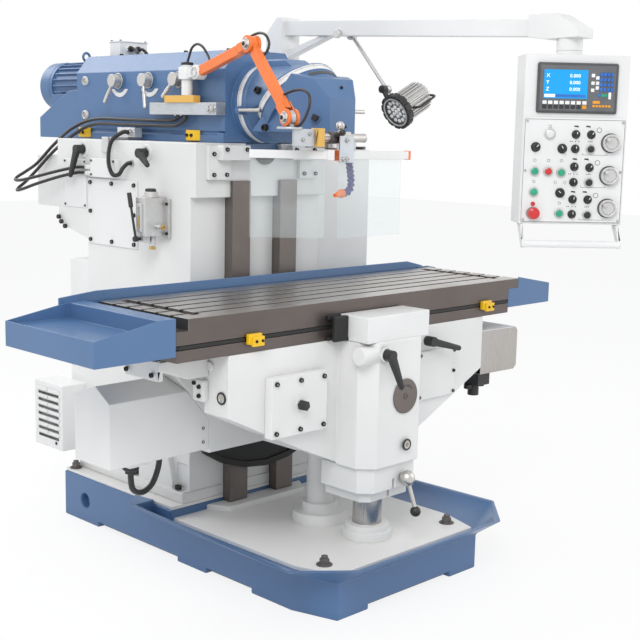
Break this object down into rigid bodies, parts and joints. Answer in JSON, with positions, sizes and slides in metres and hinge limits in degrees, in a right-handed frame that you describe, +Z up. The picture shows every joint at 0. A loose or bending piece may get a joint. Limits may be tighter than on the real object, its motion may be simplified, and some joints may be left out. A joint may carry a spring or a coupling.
{
  "type": "milling machine",
  "caption": "Ram type universal milling machine with swivel head, long slotted table on a knee, front support post and swing arm control pendant.",
  "frame": {"origin": "on the floor below the middle of the base", "axes": "+X along the table to the operator's right, +Y to the back of the column, +Z up"},
  "size_m": [2.395, 2.8421, 2.182],
  "materials": {
    "blue_paint": "satin paint",
    "white_paint": "satin paint",
    "ground_iron": "ground",
    "steel": "ground",
    "black_plastic": "matte",
    "black_rubber": "matte",
    "zinc": "satin",
    "orange_paint": "satin paint",
    "yellow_paint": "satin paint",
    "clear_pane": "clear",
    "blue_plastic": "satin",
    "red_plastic": "gloss",
    "white_alloy": "painted"
  },
  "bodies": {
    "machine": {"base_casting": "blue_paint", "base_deck": "white_paint", "anchor_bolts": "steel", "column": "white_paint", "column_ways": "ground_iron", "column_covers": "white_paint", "rear_boxes": "white_paint", "electric_cabinet": "white_paint", "lube_pump": "zinc", "support_post": "steel", "screw_tube": "white_paint", "pendant_post": "white_paint", "limit_switch": "zinc", "switch_hose": "black_rubber", "screw_cap": "black_plastic", "machine_cables": "black_rubber"},
    "lube_handle": {"lube_handle": "black_plastic"},
    "ram_clamp_rear": {"ram_clamp_rear": "black_plastic"},
    "ram_clamp_front": {"ram_clamp_front": "black_plastic"},
    "ram": {"ram": "blue_paint", "ram_motor": "blue_paint", "ram_trim": "white_paint", "ram_dogs": "yellow_paint", "guard_bracket": "zinc"},
    "speed_lever_a": {"speed_lever_a": "zinc"},
    "speed_lever_b": {"speed_lever_b": "zinc"},
    "speed_lever_c": {"speed_lever_c": "zinc"},
    "head_swivel": {"head_swivel": "blue_paint"},
    "spindle_head": {"spindle_head": "blue_paint"},
    "spindle": {"vertical_spindle": "steel"},
    "guard_upper_arm": {"guard_upper_arm": "orange_paint"},
    "guard_lower_arm": {"guard_lower_arm": "orange_paint"},
    "guard": {"guard_frame": "zinc", "guard_panes": "clear_pane", "coolant_hose": "blue_plastic"},
    "knee": {"knee": "white_paint", "knee_covers": "white_paint", "motor_cover": "white_paint", "x_drive_cover": "zinc", "support_clamp": "white_paint", "front_cover": "white_paint", "way_apron": "black_rubber"},
    "clamp_lever": {"clamp_lever": "black_plastic"},
    "knee_lever_left": {"knee_lever_left": "black_plastic"},
    "knee_lever_right": {"knee_lever_right": "black_plastic"},
    "table": {"table": "ground_iron", "tray_left": "blue_paint", "tray_right": "blue_paint", "splash_guard": "blue_paint", "table_dogs": "yellow_paint"},
    "pendant_arm": {"pendant_arm": "white_alloy"},
    "pendant": {"pendant_box": "white_paint", "pendant_readout": "black_plastic", "pendant_controls": "black_plastic"},
    "e_stop": {"e_stop": "red_plastic"},
    "handwheel_x": {"handwheel_x": "zinc"},
    "handwheel_y": {"handwheel_y": "zinc"},
    "handwheel_z": {"handwheel_z": "zinc"},
    "lamp_arm": {"lamp_arm": "zinc"},
    "lamp_head": {"lamp_head": "zinc"}
  },
  "joints": [
    {"name": "knee_lift", "type": "slide", "parent": "machine", "child": "knee", "axis": [0, 0, 1], "range_m": [-0.1, 0.2]},
    {"name": "table_feed", "type": "slide", "parent": "knee", "child": "table", "axis": [1, 0, 0], "range_m": [-0.5, 0.5]},
    {"name": "ram_feed", "type": "slide", "parent": "machine", "child": "ram", "axis": [0, -1, 0], "range_m": [0, 0.4]},
    {"name": "head_turn", "type": "hinge", "parent": "ram", "child": "head_swivel", "pos_m": [0, 0.022, 1.797], "axis": [0, 1, 0], "range_deg": [-180, 180]},
    {"name": "spindle_head_turn", "type": "hinge", "parent": "head_swivel", "child": "spindle_head", "pos_m": [0, -0.178, 1.805], "axis": [0, -0.7071, -0.7071], "range_deg": [-180, 180]},
    {"name": "spindle_spin", "type": "hinge", "parent": "spindle_head", "child": "spindle", "pos_m": [0, -0.3, 1.65], "axis": [0, 0, 1], "continuous": true},
    {"name": "speed_lever_a_turn", "type": "hinge", "parent": "ram", "child": "speed_lever_a", "pos_m": [-0.2, 0.742, 1.889], "axis": [1, 0, 0], "range_deg": [-35, 35]},
    {"name": "speed_lever_b_turn", "type": "hinge", "parent": "ram", "child": "speed_lever_b", "pos_m": [-0.2, 0.53, 1.889], "axis": [1, 0, 0], "range_deg": [-5, 45]},
    {"name": "speed_lever_c_turn", "type": "hinge", "parent": "ram", "child": "speed_lever_c", "pos_m": [-0.2, 0.325, 1.889], "axis": [1, 0, 0], "range_deg": [0, 55]},
    {"name": "ram_clamp_rear_turn", "type": "hinge", "parent": "machine", "child": "ram_clamp_rear", "pos_m": [-0.35, 0.782, 1.598], "axis": [1, 0, 0], "range_deg": [-40, 40]},
    {"name": "ram_clamp_front_turn", "type": "hinge", "parent": "machine", "child": "ram_clamp_front", "pos_m": [-0.35, 0.34, 1.594], "axis": [1, 0, 0], "range_deg": [-25, 40]},
    {"name": "lube_handle_pump", "type": "hinge", "parent": "machine", "child": "lube_handle", "pos_m": [-0.47, 0.242, 1.264], "axis": [1, 0, 0], "range_deg": [-35, 10]},
    {"name": "support_clamp_turn", "type": "hinge", "parent": "knee", "child": "clamp_lever", "pos_m": [0.04, -0.7, 0.42], "axis": [0, 1, 0], "range_deg": [-70, 60]},
    {"name": "knee_lever_left_turn", "type": "hinge", "parent": "knee", "child": "knee_lever_left", "pos_m": [-0.092, -0.73, 0.905], "axis": [0, 1, 0], "range_deg": [-40, 40]},
    {"name": "knee_lever_right_turn", "type": "hinge", "parent": "knee", "child": "knee_lever_right", "pos_m": [0.316, -0.589, 0.89], "axis": [0, 1, 0], "range_deg": [-18, 45]},
    {"name": "guard_swing", "type": "hinge", "parent": "ram", "child": "guard_upper_arm", "pos_m": [-0.23, 0.234, 1.9], "axis": [0, 0, 1], "range_deg": [-65, 2]},
    {"name": "guard_elbow", "type": "hinge", "parent": "guard_upper_arm", "child": "guard_lower_arm", "pos_m": [-0.29953, -0.22577, 2.003], "axis": [0.9888, -0.1495, 0], "range_deg": [-30, 0]},
    {"name": "guard_wrist", "type": "hinge", "parent": "guard_lower_arm", "child": "guard", "pos_m": [-0.33707, -0.47395, 1.74], "axis": [0.9888, -0.1495, 0], "range_deg": [-10, 25]},
    {"name": "pendant_arm_swing", "type": "hinge", "parent": "machine", "child": "pendant_arm", "pos_m": [0.44, 0.4, 2.1], "axis": [0, 0, 1], "range_deg": [-2, 70]},
    {"name": "pendant_turn", "type": "hinge", "parent": "pendant_arm", "child": "pendant", "pos_m": [0.44, -1.095, 1.995], "axis": [0, 0, 1], "range_deg": [-50, 60]},
    {"name": "lamp_arm_tilt", "type": "hinge", "parent": "pendant_arm", "child": "lamp_arm", "pos_m": [0.44, 0.02, 2.098], "axis": [1, 0, 0], "range_deg": [-20, 35]},
    {"name": "lamp_head_tilt", "type": "hinge", "parent": "lamp_arm", "child": "lamp_head", "pos_m": [0.486, -0.188, 1.871], "axis": [1, 0, 0], "range_deg": [-30, 40]},
    {"name": "e_stop_press", "type": "slide", "parent": "pendant", "child": "e_stop", "axis": [0.6691, 0.7431, 0], "range_m": [0, 0.008], "stiffness_N_per_m": 800},
    {"name": "handwheel_x_spin", "type": "hinge", "parent": "pendant", "child": "handwheel_x", "pos_m": [0.44814, -1.27726, 1.675], "axis": [-0.6691, -0.7431, 0], "continuous": true},
    {"name": "handwheel_y_spin", "type": "hinge", "parent": "pendant", "child": "handwheel_y", "pos_m": [0.44814, -1.27726, 1.562], "axis": [-0.6691, -0.7431, 0], "continuous": true},
    {"name": "handwheel_z_spin", "type": "hinge", "parent": "pendant", "child": "handwheel_z", "pos_m": [0.44814, -1.27726, 1.448], "axis": [-0.6691, -0.7431, 0], "continuous": true}
  ]
}
